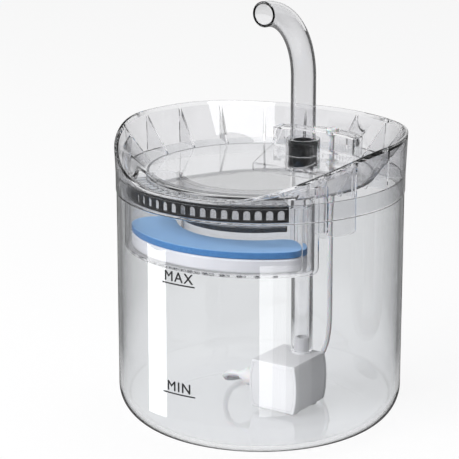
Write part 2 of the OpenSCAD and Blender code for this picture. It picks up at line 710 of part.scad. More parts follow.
tank();
lid();
spout();
spout_sleeve();
filter_box();
back_guard();
comb_strainer();
filter_foam();
filter_wool();
carbon_bed();
riser_hose();
pump_housing();
pump_back();
pump_cover();
impeller_cover();
impeller();
rotor_magnet();
rotor_shaft();
shaft_bushes();
rotor_can();
can_seal();
stator_core();
stator_coils();
circuit_board();
cable_gland();
pump_lead();
lead_grommet();
pump_feet();
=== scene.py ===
import math

import bmesh
import bpy
from mathutils import Matrix, Vector


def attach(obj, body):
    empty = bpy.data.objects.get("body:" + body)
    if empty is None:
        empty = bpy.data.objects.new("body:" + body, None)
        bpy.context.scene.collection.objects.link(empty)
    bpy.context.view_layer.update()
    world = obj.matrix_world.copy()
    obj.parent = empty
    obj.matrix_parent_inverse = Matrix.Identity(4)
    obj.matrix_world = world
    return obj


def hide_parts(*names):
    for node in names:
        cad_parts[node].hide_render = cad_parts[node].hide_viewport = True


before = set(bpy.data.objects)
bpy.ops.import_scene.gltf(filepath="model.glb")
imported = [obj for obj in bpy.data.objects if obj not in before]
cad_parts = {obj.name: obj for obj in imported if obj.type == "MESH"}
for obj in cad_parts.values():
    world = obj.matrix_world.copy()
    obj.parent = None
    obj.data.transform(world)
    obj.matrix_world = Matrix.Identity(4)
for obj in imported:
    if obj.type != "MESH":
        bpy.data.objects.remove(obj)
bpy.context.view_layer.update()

# ---------------------------- camera
# A long lens, well back from the fountain, a little above the level of its rim and
# 33 degrees round to the right of the filter box.
MM = 0.001
view_turn = math.radians(33)
view_rise = math.radians(15.662)
view_distance = 1.2
view_height = 112.318 * MM
view_aside = 17.95 * MM

bpy.ops.object.camera_add()
camera = bpy.context.object
camera.name = "studio_camera"
camera.data.lens = 160.8
camera.data.sensor_width = 36
camera.data.clip_end = 20
camera.location = (
    view_distance * math.sin(view_turn) * math.cos(view_rise),
    -view_distance * math.cos(view_turn) * math.cos(view_rise),
    view_height + view_distance * math.sin(view_rise),
)
aim = Vector((-view_aside * math.cos(view_turn), -view_aside * math.sin(view_turn), view_height))
camera.rotation_euler = (aim - camera.location).to_track_quat("-Z", "Y").to_euler()
bpy.context.scene.camera = camera


# ---------------------------- pump lead
# A thin two-core lead in soft pale vinyl. It leaves the pump's gland, lies on
# the tank's floor and rises through the grommet in the tray's rear shelf.
def pick(obj=None):
    """Selects obj alone and makes it the active one; without obj, selects nothing."""
    bpy.ops.object.select_all(action="DESELECT")
    if obj:
        obj.select_set(True)
        bpy.context.view_layer.objects.active = obj


def weld(obj, gap=0.002):
    """Merges points closer than gap millimetres, drops edges without faces and turns the
    faces outwards."""
    bpy.ops.object.mode_set(mode="OBJECT")
    pick(obj)
    bpy.ops.object.mode_set(mode="EDIT")
    bpy.ops.mesh.select_all(action="SELECT")
    bpy.ops.mesh.remove_doubles(threshold=gap * MM)
    bpy.ops.mesh.delete_loose()
    bpy.ops.mesh.select_all(action="SELECT")
    bpy.ops.mesh.normals_make_consistent(inside=False)
    bpy.ops.object.mode_set(mode="OBJECT")


def linear(code):
    """The linear colour of an sRGB hex code, as a shader socket takes it."""
    parts = [int(code[i : i + 2], 16) / 255 for i in (0, 2, 4)]
    return [p / 12.92 if p <= 0.04045 else ((p + 0.055) / 1.055) ** 2.4 for p in parts] + [1]


def new_material(name):
    """An empty node material and its tree."""
    material = bpy.data.materials.new(name)
    material.use_nodes = True
    material.node_tree.nodes.clear()
    return material, material.node_tree


def add(tree, kind, links=(), inputs=(), ramp=(), **settings):
    """Adds one node with its settings, its own values and what feeds it: a socket, or a
    node for that node's first output. A ramp is given as pairs of a place and a code."""
    node = tree.nodes.new("ShaderNode" + kind)
    for key, value in settings.items():
        setattr(node, key, value)
    for number, (spot, code) in enumerate(ramp):
        stop = node.color_ramp.elements[number]
        stop.position, stop.color = spot, linear(code)
    for key, value in dict(inputs).items():
        node.inputs[key].default_value = value
    for key, source in dict(links).items():
        tree.links.new(getattr(source, "outputs", [source])[0], node.inputs[key])
    return node


def grained(name, codes, mottling, shader, relief=None, grain=None, gloss=None):
    """An opaque material, mottled between two codes. mottling and grain are the scale and
    detail of a noise, and without a grain the mottling serves for it. relief is the skin's
    strength and its depth in millimetres, and gloss the roughness from low to high grain."""
    material, tree = new_material(name)
    place = add(tree, "TexCoord").outputs["Object"]
    noises = [
        add(tree, "TexNoise", {"Vector": place}, {"Scale": scale, "Detail": detail})
        for scale, detail in (mottling, grain or mottling)
    ]
    tones = add(tree, "ValToRGB", {"Fac": noises[0]}, ramp=zip((0, 1), codes))
    feeds = {"Base Color": tones}
    if relief:
        strength, depth = relief
        feeds["Normal"] = add(
            tree, "Bump", {"Height": noises[1]}, {"Strength": strength, "Distance": depth * MM}
        )
    if gloss:
        low, high = gloss
        feeds["Roughness"] = add(
            tree, "MapRange", {"Value": noises[1]}, {"To Min": low, "To Max": high}
        )
    shade = add(tree, "BsdfPrincipled", feeds, shader)
    add(tree, "OutputMaterial", {"Surface": shade})
    return material


def paint(obj, *materials):
    """Gives obj its material, and the next ones for the faces marked with 1 and 2."""
    slots = obj.data.materials
    for number, material in enumerate(materials):
        if number < len(slots):
            slots[number] = material
        else:
            slots.append(material)


def tube(name, route, radius, sides):
    """A round tube along a route in millimetres, made a mesh with its own ends."""
    line = bpy.data.curves.new(name, "CURVE")
    line.dimensions = "3D"
    line.bevel_depth = radius * MM
    line.bevel_resolution = sides // 4 - 1
    line.resolution_u = 3
    line.use_fill_caps = True
    run = line.splines.new("BEZIER")
    run.bezier_points.add(len(route) - 1)
    for point, place in zip(run.bezier_points, route):
        point.co = [c * MM for c in place]
        point.handle_left_type = point.handle_right_type = "AUTO"
    obj = bpy.data.objects.new(name, line)
    bpy.context.scene.collection.objects.link(obj)
    pick(obj)
    bpy.ops.object.convert(target="MESH")
    obj = bpy.context.object
    weld(obj, 0.001)
    bpy.ops.object.shade_smooth_by_angle(angle=math.radians(40))
    return obj


gland_face, gland_y, pump_mid = -2.8, 1.8, 19.75
lead_low, lead_r = 4.85, 1.74
grommet_x, grommet_y, shelf_top = 6.4, 70.24, 159.5
lead_route = [
    (gland_face + 1, gland_y, pump_mid), (-8, gland_y, pump_mid), (-14.2, gland_y, pump_mid),
    (-20, 2.5, 19.4), (-25, 4.5, 17.6), (-30, 8.5, 14.4), (-34, 14, 10.8), (-36, 20, 7.6),
    (-36.5, 27, 5.6), (-34.5, 34, lead_low), (-30.5, 40.5, lead_low), (-24.5, 46, lead_low),
    (-17, 50.5, 5.3), (-9, 54.5, 6.4), (-2, 59, 9.6), (3, 63.6, 15.6), (5.8, 67.2, 24),
    (6.6, 69.2, 34), (6.6, 70, 46), (6.5, 70, 60), (6.4, 70, 80), (6.4, 70, 100),
    (6.4, 70, 120), (6.4, 70, 140), (grommet_x, grommet_y, shelf_top + 1),
]
# extruded vinyl: satin, a little milky, with faint streaks along its length
pale_vinyl = grained(
    "pale_soft_vinyl", ("ECEDEE", "F8F9F9"), (900, 3),
    {"Roughness": 0.38, "IOR": 1.52, "Subsurface Weight": 0.2, "Subsurface Scale": 1.5 * MM,
     "Transmission Weight": 0.1},
    relief=(0.08, 0.1),
)
lead = tube("lead_of_pump", lead_route, lead_r, 12)
paint(lead, pale_vinyl)
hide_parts("pump_lead")
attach(lead, "lid_body")


# ---------------------------- tank
# One clear injection-moulded cup with a broadly rounded bottom edge. A thin
# neck at the top takes the lid's skirt, which stands on the shoulder below it.
def outline(name, points, closed=True):
    """A line of points in millimetres, extruded one by one from a merged plane."""
    pick()
    bpy.ops.mesh.primitive_plane_add(size=MM, location=(0, 0, 0))
    obj = bpy.context.object
    obj.name = obj.data.name = name
    bpy.ops.object.mode_set(mode="EDIT")
    bpy.ops.mesh.select_all(action="SELECT")
    bpy.ops.mesh.merge(type="CENTER")
    here = Vector(points[0]) * MM
    bpy.ops.transform.translate(value=here)
    for point in points[1:]:
        there = Vector(point) * MM
        bpy.ops.mesh.extrude_region_move(TRANSFORM_OT_translate={"value": there - here})
        here = there
    if closed:
        mesh = bmesh.from_edit_mesh(obj.data)
        ends = [v for v in mesh.verts if len(v.link_edges) == 1]
        bpy.ops.mesh.select_all(action="DESELECT")
        for v in ends:
            v.select = True
        mesh.select_flush(True)
        bmesh.update_edit_mesh(obj.data)
        bpy.ops.mesh.edge_face_add()
    bpy.ops.mesh.select_all(action="SELECT")
    return obj


def smooth(obj, angle=35):
    """Smooths all but the sharp edges, while broad faces stay true and bend no light."""
    pick(obj)
    bpy.ops.object.shade_smooth_by_angle(angle=math.radians(angle))
    weigh = obj.modifiers.new("broad_faces_first", "WEIGHTED_NORMAL")
    weigh.keep_sharp = True
    weigh.weight = 50
    bpy.ops.object.modifier_apply(modifier=weigh.name)


def close_up(obj, angle=35):
    """Merges doubles, turns the faces outwards and smooths all but the sharp edges."""
    weld(obj)
    smooth(obj, angle)


def turned(name, section, steps, centre=(0, 0, 0), axis=(0, 0, 1), closed=False):
    """A section in millimetres, spun a full turn round an axis."""
    obj = outline(name, section, closed)
    bpy.ops.mesh.spin(
        steps=steps, angle=2 * math.pi, use_auto_merge=True,
        center=[c * MM for c in centre], axis=axis,
    )
    close_up(obj)
    return obj


def arc(cx, cz, radius, start, end, count):
    """Points (x, z) along an arc, with angles in degrees."""
    turns = [math.radians(start + (end - start) * i / count) for i in range(count + 1)]
    return [(cx + radius * math.cos(t), cz + radius * math.sin(t)) for t in turns]


def finish_with(obj, kind, **settings):
    """Adds one modifier with its settings and applies it."""
    pick(obj)
    modifier = obj.modifiers.new(kind, kind)
    for key, value in settings.items():
        setattr(modifier, key, value)
    bpy.ops.object.modifier_apply(modifier=modifier.name)


def see_through(tree, surface, **tint):
    """Ends a clear material: a lamp shines straight through it, in the given tint."""
    through = add(tree, "BsdfTransparent", **tint)
    path = add(tree, "LightPath")
    mixed = add(
        tree, "MixShader", {"Fac": path.outputs["Is Shadow Ray"], 1: surface, 2: through}
    )
    add(tree, "OutputMaterial", {"Surface": mixed})


def clear_moulding(name, body_code, grazing_shade_code, start, ripple, pale_foot=0):
    """Clear styrene plastic: body_code is its tone face on, and the next code its tone where one
    looks along the wall, from start on: partly the longer path of light through the plastic, partly
    painted shade for the dark surroundings that a real wall refracts. ripple is the flow in the
    skin. Below the height pale_foot in millimetres this painted shade fades."""
    material, tree = new_material(name)
    place = add(tree, "TexCoord").outputs["Object"]
    flow = add(tree, "TexNoise", {"Vector": place}, {"Scale": 28, "Detail": 2})
    skin = add(tree, "Bump", {"Height": flow}, {"Strength": ripple, "Distance": 1 * MM})
    facing = add(tree, "LayerWeight", {}, {"Blend": 0.5}).outputs["Facing"]
    side = add(tree, "NewGeometry").outputs["Backfacing"]
    outside = add(tree, "Math", {1: side}, {0: 1.0}, operation="SUBTRACT")
    along = add(tree, "Math", {0: facing, 1: outside}, operation="MULTIPLY")
    if pale_foot:
        height = add(
            tree, "MapRange", {"Value": add(tree, "SeparateXYZ", {"Vector": place}).outputs["Z"]},
            {"From Max": pale_foot * MM, "To Min": 0.88},
        )
        along = add(tree, "Math", {0: along, 1: height}, operation="MULTIPLY")
    # partly painted shade: the outside of the wall darkens towards its silhouette
    stops = ((start, body_code), (1, grazing_shade_code))
    depth = add(tree, "ValToRGB", {"Fac": along}, ramp=stops)
    haze = add(tree, "MapRange", {"Value": flow}, {"To Min": 0.005, "To Max": 0.02})
    glass = add(
        tree, "BsdfPrincipled", {"Base Color": depth, "Roughness": haze, "Normal": skin},
        {"IOR": 1.5, "Transmission Weight": 1.0},
    )
    see_through(tree, glass, inputs={"Color": linear("FCFCFD")})
    return material


tank_out, tank_in, tank_floor = 83.6, 81.2, 2.8
fillet = 20
inner_fillet = fillet - (tank_out - tank_in)
shoulder, neck_out, tank_top = 138, 82.5, 148.4
tank_section = (
    [(0, 0)]
    + arc(tank_out - fillet, fillet, fillet, -90, 0, 20)
    + [(tank_out, shoulder - 0.5), (tank_out - 0.15, shoulder - 0.15), (tank_out - 0.5, shoulder)]
    + [(neck_out, shoulder), (neck_out, tank_top - 0.4), (neck_out - 0.15, tank_top - 0.1)]
    + [(neck_out - 0.4, tank_top), (tank_in + 0.4, tank_top), (tank_in, tank_top - 0.4)]
    + arc(tank_out - fillet, inner_fillet + tank_floor, inner_fillet, 0, -90, 20)
    + [(0, tank_floor)]
)
tank = turned("tank_cup", [(x, 0, z) for x, z in tank_section], 160)
tank_plastic = clear_moulding(
    "clear_moulded_tank_plastic", "F4F5F6", "5E6165", 0.86, 0.03, pale_foot=24
)
paint(tank, tank_plastic)
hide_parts("tank")
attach(tank, "tank_body")


# ---------------------------- level marks
# Two printed level lines with their words, in black pad-printing ink on the
# outside of the tank: a film a few hundredths of a millimetre thick.
def wrap_on_tank(obj):
    """Bends a flat piece, drawn with x along the wall and z up, round the tank."""
    for v in obj.data.vertices:
        turn = v.co.x / (ink_r * MM)
        reach = ink_r * MM - v.co.y
        v.co = (reach * math.sin(turn), -reach * math.cos(turn), v.co.z)


def combine(obj, operation, *tools):
    """Unites or cuts obj with one tool after another, which are then gone."""
    for tool in tools:
        finish_with(obj, "BOOLEAN", operation=operation, object=tool, solver="EXACT")
        bpy.data.objects.remove(tool)


def merged(name, pieces):
    """Joins pieces into one, without uniting their volumes."""
    pick()
    for piece in pieces:
        piece.select_set(True)
    bpy.context.view_layer.objects.active = pieces[0]
    bpy.ops.object.join()
    bpy.context.object.name = name
    return bpy.context.object


ink_r = tank_out + 0.06
ink_film = 0.04
rule_length = ink_r * math.radians(15)
rule_height = 0.8
letter_size, letter_lift = 8.4, 1.4
thicker = Matrix.Translation((0.3 * MM, 0.12 * MM, 0))
# thin printed ink: nearly black, satin, with pinholes and an uneven film
black_ink = grained(
    "black_pad_printing_ink", ("0C0C0D", "2A2A2C"), (2500, 2), {"Roughness": 0.45}
)
for word, line_z in (("MAX", 100.0), ("MIN", 35.4)):
    pick()
    bpy.ops.object.text_add(location=(0, 0, 0))
    text = bpy.context.object.data
    text.body = word
    text.align_x = "CENTER"
    text.size = letter_size * MM
    text.space_character = 1.16
    text.extrude = ink_film / 2 * MM
    bpy.ops.object.convert(target="MESH")
    mark = bpy.context.object
    weld(mark, 0.001)
    bpy.ops.object.duplicate()
    again = bpy.context.object
    again.data.transform(thicker)
    combine(mark, "UNION", again)
    for v in mark.data.vertices:
        v.co = (v.co.x, v.co.z, v.co.y + (line_z + letter_lift) * MM)
    pick()
    bpy.ops.mesh.primitive_grid_add(x_subdivisions=24, y_subdivisions=1, size=1)
    rule = bpy.context.object
    for v in rule.data.vertices:
        v.co = (v.co.x * rule_length * MM, 0, (line_z + v.co.y * rule_height) * MM)
    finish_with(rule, "SOLIDIFY", thickness=ink_film * MM, offset=0)
    mark = merged("level_mark_" + word.lower(), [mark, rule])
    weld(mark, 0.001)
    wrap_on_tank(mark)
    paint(mark, black_ink)
    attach(mark, "tank_body")


# ---------------------------- tray lid
# One clear moulding: a skirt over the tank's neck, a rim that dips at the front, a sloping
# wall with ribs behind it, a flat drinking floor, a raised rear shelf, the spout's socket,
# a sloping drip plate below, and two guides for the filter box.
def edge_with_painted_shade(name, code, pale_code):
    """A polished round edge of clear plastic, with painted shade: a dark colour draws the thin dark
    line that the real edge shows, in place of the shade it refracts."""
    material, tree = new_material(name)
    place = add(tree, "TexCoord").outputs["Object"]
    flow = add(tree, "TexNoise", {"Vector": place}, {"Scale": 60, "Detail": 2})
    # painted shade: dark grey, mottled a little lighter
    tones = add(tree, "ValToRGB", {"Fac": flow}, ramp=((0.35, code), (0.75, pale_code)))
    glass = add(
        tree, "BsdfPrincipled", {"Base Color": tones},
        {"Roughness": 0.03, "IOR": 1.5, "Transmission Weight": 1.0},
    )
    see_through(tree, glass, inputs={"Color": linear("E0E1E2")})
    return material


def bevelled(obj, width, angle=50, segments=1, mark=1):
    """Rounds the sharp edges; the new faces take the material numbered mark, on the lid, spout and
    box an edge with painted shade.
    """
    finish_with(
        obj, "BEVEL", width=width * MM, segments=segments, limit_method="ANGLE",
        angle_limit=math.radians(angle), material=mark,
    )
    return obj


def ease(value, low, high):
    """Runs smoothly from 0 to 1 while value goes from low to high."""
    t = min(1, max(0, (value - low) / (high - low)))
    return t * t * (3 - 2 * t)


def rim_height(turn):
    """Height of the rim at an angle in degrees from the front."""
    away = abs(turn)
    side = floor_z + rim_front + rim_side * ease(away, 12, 88)
    return side - rim_rear_drop * ease(away, 115, 165)


def rim_reach(height):
    """The rim flares outwards by 1 mm over its full height."""
    return skirt_out + (height - tank_top) / rim_flare_run


def slope_z(radius, height):
    """Height of the sloping wall's upper face at a radius, where the rim has this height."""
    run = rim_reach(height) - rim_w - floor_r
    return floor_z + (radius - floor_r) * (height - floor_z) / run


def slope_drop(height):
    """The sloping wall's thickness, measured straight down."""
    run = rim_reach(height) - rim_w - floor_r
    return funnel_wall * math.hypot(run, height - floor_z) / run


def slope_under(radius, turn):
    """Height of the sloping wall's underside at a radius and an angle from the front."""
    h = rim_height(turn)
    return slope_z(radius, h) - slope_drop(h)


def lid_section(turn):
    """The skirt, rim, sloping wall and floor's edge in section, from the skirt's foot."""
    h = rim_height(turn)
    r = rim_reach(h)
    inner = r - rim_w
    under = inner - 0.3
    foot = shoulder + 0.3
    return [
        (skirt_in, foot + 0.25), (skirt_in + 0.25, foot), (skirt_out - 0.25, foot),
        (skirt_out, foot + 0.25), (skirt_out, tank_top), (r, h - 0.55), (r - 0.17, h - 0.15),
        (r - 0.55, h), (inner + 0.4, h), (inner + 0.08, h - 0.1), (inner - 0.02, h - 0.35),
        (floor_r + 0.6, slope_z(floor_r + 0.6, h)), (floor_r, floor_z + 0.02),
        (floor_r - 1.5, floor_z), (floor_r - 1.5, floor_under), (floor_r + 0.5, floor_under),
        (under, slope_under(under, turn)), (skirt_in, min(h - 2, tank_top + 0.4)),
    ]


def block(name, points, push):
    """A closed outline in millimetres, filled and extruded by push."""
    obj = outline(name, points)
    bpy.ops.mesh.edge_face_add()
    bpy.ops.mesh.extrude_region_move(TRANSFORM_OT_translate={"value": Vector(push) * MM})
    close_up(obj)
    return obj


def raised(name, plan, low, high):
    """A closed outline seen from above, raised from low to high."""
    return block(name, [(x, y, low) for x, y in plan], (0, 0, high - low))


def rod(name, radius, low, high, centre=(0, 0), sides=96):
    """An upright round bar, as a cutter or as something to be united."""
    pick()
    bpy.ops.mesh.primitive_cylinder_add(
        vertices=sides, radius=radius * MM, depth=(high - low) * MM,
        location=(centre[0] * MM, centre[1] * MM, (low + high) / 2 * MM),
    )
    obj = bpy.context.object
    obj.name = name
    bpy.ops.object.transform_apply(location=True, rotation=True, scale=True)
    return obj


def turned_about_axis(obj, degrees):
    """Turns a piece about the fountain's axis, in its mesh."""
    obj.data.transform(Matrix.Rotation(math.radians(degrees), 4, "Z"))
    return obj


def marked(obj, number, test=lambda face: True):
    """Marks the faces that pass the test, so that they take another finish."""
    for face in obj.data.polygons:
        if test(face):
            face.material_index = number
    return obj


def rib(turn):
    """One rib: a thin plate, and the thicker web that joins it to the sloping wall."""
    h = rim_height(turn)
    under = rim_reach(h) - rim_w - 0.1
    wall = skirt_in + 0.4
    t = rib_half
    foot = (floor_r + 1.2, floor_under + 0.4)
    head = (under, slope_under(under, turn) + 0.2)
    low = tank_top + 0.3
    shape = [foot, head, (wall, h - 3), (wall, low), (floor_r + 2, low)]
    plate = block("rib", [(-t, -r, z) for r, z in shape], (2 * t, 0, 0))
    bevelled(plate, 0.3)
    run = Vector((head[0] - foot[0], head[1] - foot[1])).normalized()
    down = Vector((run.y, -run.x)) * 1.5
    t += 0.15
    strip = [
        foot, head, (head[0] + down.x, head[1] + down.y), (foot[0] + down.x + 1, foot[1] + down.y)
    ]
    web = block("rib_web", [(-t, -r, z) for r, z in strip], (2 * t, 0, 0))
    # the web takes the third material: a near-black line of painted shade
    combine(plate, "UNION", marked(web, 2))
    return turned_about_axis(plate, turn)


def swept(name, section, turn_a, turn_b, steps=0):
    """A section of radii and heights, spun between two angles from the front."""
    a, span = math.radians(turn_a), turn_b - turn_a
    obj = outline(name, [(r * math.sin(a), -r * math.cos(a), z) for r, z in section])
    bpy.ops.mesh.spin(
        steps=steps or max(3, int(span / 1.5)), angle=math.radians(span), center=(0, 0, 0),
        axis=(0, 0, -1),
    )
    bpy.ops.mesh.select_all(action="SELECT")
    bpy.ops.mesh.fill_holes(sides=0)
    close_up(obj)
    return obj


def ring_part(name, outer, inner, turn_a, turn_b, low, high):
    """Part of a ring of four-sided section."""
    corners = [(outer, low), (outer, high), (inner, high), (inner, low)]
    return swept(name, corners, turn_a, turn_b)


def corner_cut(turn, low, high, radius):
    """How far a round corner takes off the height at an angle."""
    t = max(0, low + radius - turn, turn - high + radius) / radius
    return radius * (1 - math.sqrt(max(0, 1 - t * t)))


def curved_panel(name, outer, inner, low, high, foot, lift, corner):
    """An upright panel on a cylinder that reaches up to the sloping wall. Its columns of
    faces crowd together towards its ends, where it has round corners."""
    crowding = 0.35
    pick()
    bpy.ops.mesh.primitive_grid_add(x_subdivisions=96, y_subdivisions=6, size=2)
    obj = bpy.context.object
    obj.name = name
    for v in obj.data.vertices:
        wave = 0.5 * math.cos((v.co.x + 1) / 2 * math.pi)
        across = 0.5 - wave * crowding + v.co.x * (1 - crowding) / 2
        turn = low + (high - low) * min(1, max(0, across))
        cut = corner_cut(turn, low, high, corner)
        top = slope_under(inner, turn) + lift - cut
        bottom = foot + cut
        z = bottom + (top - bottom) * (v.co.y + 1) / 2
        a = math.radians(turn)
        v.co = (outer * MM * math.sin(a), -outer * MM * math.cos(a), z * MM)
    weld(obj, 0.01)
    middle = obj.data.polygons[len(obj.data.polygons) // 2]
    outwards = middle.normal.dot(Vector((middle.center.x, middle.center.y, 0))) > 0
    # the rim faces take the second material, an edge with painted shade
    finish_with(
        obj, "SOLIDIFY", thickness=(outer - inner) * MM, offset=-1 if outwards else 1,
        use_even_offset=True, material_offset_rim=1,
    )
    return obj


def shelf_shape(less, back):
    """The shelf seen from above: straight sides and a back that follows the sloping wall."""
    half = shelf_half - less
    side = math.degrees(math.asin(half / back))
    bow = arc(0, 0, back, 90 - side, 90 + side, 24)
    return [(half, shelf_front)] + bow + [(-half, shelf_front)]


skirt_in, skirt_out = 82.8, 84.0
floor_z, floor_under, floor_r = 149.0, 147.5, 66.0
rim_front, rim_side, rim_rear_drop, rim_flare_run = 1.2, 22.8, 2.6, 24.6
rim_w, funnel_wall = 1.6, 1.3
spout_y = 46.5

lid_plastic = clear_moulding("clear_moulded_lid_plastic", "FAFAFB", "3C3E42", 0.82, 0.02)
# edges with painted shade: a dark grey line, and a near-black one
lid_edge_painted_shade = edge_with_painted_shade("lid_edge_with_painted_shade", "3C3E42", "6C6F73")
edge_painted_near_black = edge_with_painted_shade("lid_edge_painted_near_black", "050505", "2A2B2D")

# the skirt and the wall are spun from the section at the side, and each point is then
# moved to where the same corner of the section stands at its own angle
side_section = lid_section(90)
floor_edge = {12, 13}
lid = turned("tray_lid", [(r, 0, z) for r, z in side_section], 180, closed=True)
numbers = {}
for v in lid.data.vertices:
    turn = math.degrees(math.atan2(v.co.x, -v.co.y))
    reach, height = math.hypot(v.co.x, v.co.y) / MM, v.co.z / MM
    corner = min(
        range(len(side_section)),
        key=lambda i: (side_section[i][0] - reach) ** 2 + (side_section[i][1] - height) ** 2,
    )
    numbers[v.index] = corner
    reach, height = lid_section(turn)[corner]
    angle = math.radians(turn)
    v.co = (reach * MM * math.sin(angle), -reach * MM * math.cos(angle), height * MM)
paint(lid, lid_plastic, lid_edge_painted_shade, edge_painted_near_black)
# the floor's rounded edge takes the second material, a dark line of painted shade
marked(lid, 1, lambda face: {numbers[i] for i in face.vertices} == floor_edge)

guide_turn = 59.4
guide_out, guide_in, guide_foot = 80.5, 79.3, 128
arm_in, arm_foot = 75.7, 130
arm_top = slope_under(arm_in, guide_turn) + 0.5
guide_parts = []
for side in (-1, 1):
    guide = curved_panel(
        "guide_wall", guide_out, guide_in, guide_turn - 3, 73.5, guide_foot, 0.6, 2
    )
    bevelled(guide, 0.35)
    for name, outer, turn_a, turn_b, top in (
        ("guide_web", guide_out - 0.1, guide_turn, guide_turn + 1.2, arm_top),
        ("guide_lip", arm_in + 1.2, guide_turn - 3.8, guide_turn + 1, arm_top - 0.3),
    ):
        arm = ring_part(name, outer, arm_in, turn_a, turn_b, arm_foot, top)
        combine(guide, "UNION", bevelled(arm, 0.3))
    if side < 0:
        guide.data.transform(Matrix.Scale(-1, 4, (1, 0, 0)))
        guide.data.flip_normals()
    guide_parts.append(guide)

rib_half, rib_first, rib_step = 0.6, 72, 19.2
rib_turns = [side * (rib_first + rib_step * k) for side in (-1, 1) for k in range(6)]
ribs = merged("ribs", [rib(turn) for turn in rib_turns])

shelf_half, shelf_front, shelf_wall = 28.5, 35.0, 1.4
shelf_h = rim_height(180)
shelf_run = rim_reach(shelf_h) - rim_w - floor_r
shelf_back = floor_r + (shelf_top - floor_z) * shelf_run / (shelf_h - floor_z) + 0.3
shelf_parts = []
for name, less, low, trim_r, width in (
    ("shelf", 0, floor_under - 1, floor_r - shelf_wall, 0.6),
    ("shelf_hollow", shelf_wall, floor_under - 2, floor_r, 0.4),
):
    part = raised(name, shelf_shape(less, shelf_back), low, shelf_top - less)
    combine(part, "DIFFERENCE", rod("trim", trim_r, 100, 220, sides=180))
    shelf_parts.append(bevelled(part, width))
shelf, hollow = shelf_parts
# the shelf's rounded edges take the near-black painted shade
marked(shelf, 2, lambda face: face.material_index == 1)

drip_y, drip_z, drip_lip = 34.6, 140.8, 5
drip_rear = math.sqrt(floor_r**2 - shelf_half**2)
drip_section = [
    (drip_rear, floor_under + 0.2), (drip_y + 1.4, drip_z - 1.4), (drip_y + 1.4, drip_z - drip_lip),
    (drip_y, drip_z - drip_lip), (drip_y, drip_z), (drip_rear, floor_under + 1.4),
]
drip = block("drip_plate", [(-shelf_half, y, z) for y, z in drip_section], (2 * shelf_half, 0, 0))
bevelled(drip, 0.55)
# the drip plate's left side and rounded edges take the near-black painted shade
marked(drip, 2, lambda face: face.normal.x < -0.5 or face.material_index == 1)

socket_low, socket_top, socket_out, socket_in = 138, 158.4, 10.3, 9.0
tray_floor = rod("tray_floor", floor_r - 1, floor_under, floor_z, sides=180)
socket = rod("socket", socket_out, socket_low, socket_top, (0, spout_y), 72)
combine(lid, "UNION", tray_floor, shelf, ribs, drip, bevelled(socket, 0.3), *guide_parts)
combine(
    lid, "DIFFERENCE", hollow,
    rod("socket_bore", socket_in, socket_low - 2, socket_top + 2, (0, spout_y), 72),
    ring_part("drain", 79.4, 65.4, -50, 50, 132, 152),
    rod("lead_hole", 2.75, shelf_top - 4, shelf_top + 4, (grommet_x, grommet_y), 32),
)
close_up(lid, 25)
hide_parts("lid")
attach(lid, "lid_body")

# ---------------------------- sleeve
# A moulded black silicone sleeve. It grips the spout's foot and the hose's head
# and plugs them both into the tray's socket.
sleeve_r, sleeve_low, sleeve_step, sleeve_top = 8.95, 140.0, 144.0, 157.0
hose_bore, spout_bore, waist = 6.55, 7.55, 0.35
sleeve_section = [
    (hose_bore, sleeve_low + 0.3), (hose_bore + 0.3, sleeve_low), (sleeve_r - 0.5, sleeve_low),
    (sleeve_r - 0.15, sleeve_low + 0.15), (sleeve_r, sleeve_low + 0.5),
    (sleeve_r, sleeve_low + 2.2), (sleeve_r - waist, sleeve_low + 2.6),
    (sleeve_r - waist, sleeve_top - 3.0), (sleeve_r, sleeve_top - 2.6),
    (sleeve_r, sleeve_top - 0.6), (sleeve_r - 0.2, sleeve_top - 0.2),
    (sleeve_r - 0.6, sleeve_top), (spout_bore + 0.35, sleeve_top),
    (spout_bore, sleeve_top - 0.35), (spout_bore, sleeve_step + 0.1),
    (spout_bore - 0.1, sleeve_step), (hose_bore + 0.05, sleeve_step),
    (hose_bore, sleeve_step - 0.05),
]
sleeve = turned(
    "rubber_sleeve", [(x, spout_y, z) for x, z in sleeve_section], 72, (0, spout_y, 0), closed=True
)
# moulded silicone: black, smooth and satin, with a faint bloom of dust
black_silicone = grained(
    "black_moulded_silicone", ("020202", "0A0A0B"), (350, 4),
    {"Roughness": 0.35, "IOR": 1.4, "Specular IOR Level": 0.1}, relief=(0.1, 0.05),
)
paint(sleeve, black_silicone)
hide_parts("spout_sleeve")
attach(sleeve, "sleeve_body")

# ---------------------------- spout
# A clear tube bent over a mandrel into a gooseneck and cut square at both ends.
spout_r, spout_wall, spout_foot, spout_rise, neck_bend = 7.5, 1.5, 144.2, 195.0, 44.0
lengths = 6
pick()
bpy.ops.mesh.primitive_circle_add(
    vertices=64, radius=spout_r * MM, location=(0, spout_y * MM, spout_foot * MM)
)
spout = bpy.context.object
spout.name = "gooseneck_spout"
bpy.ops.object.transform_apply(location=True, rotation=True, scale=True)
bpy.ops.object.mode_set(mode="EDIT")
bpy.ops.mesh.select_all(action="SELECT")
for _ in range(lengths):
    bpy.ops.mesh.extrude_region_move(
        TRANSFORM_OT_translate={"value": (0, 0, (spout_rise - spout_foot) / lengths * MM)}
    )
bpy.ops.mesh.spin(
    steps=48, angle=math.pi / 2, axis=(-1, 0, 0),
    center=(0, (spout_y - neck_bend) * MM, spout_rise * MM),
)
weld(spout)
side_face = spout.data.polygons[10]
from_axis = side_face.center - Vector((0, spout_y * MM, side_face.center.z))
finish_with(
    spout, "SOLIDIFY", thickness=spout_wall * MM, use_even_offset=True,
    offset=-1 if side_face.normal.dot(from_axis) > 0 else 1,
)
bevelled(spout, 0.45, 60)
smooth(spout, 40)
spout_plastic = clear_moulding("clear_extruded_spout_plastic", "F8F8F9", "9A9DA0", 0.75, 0.02)
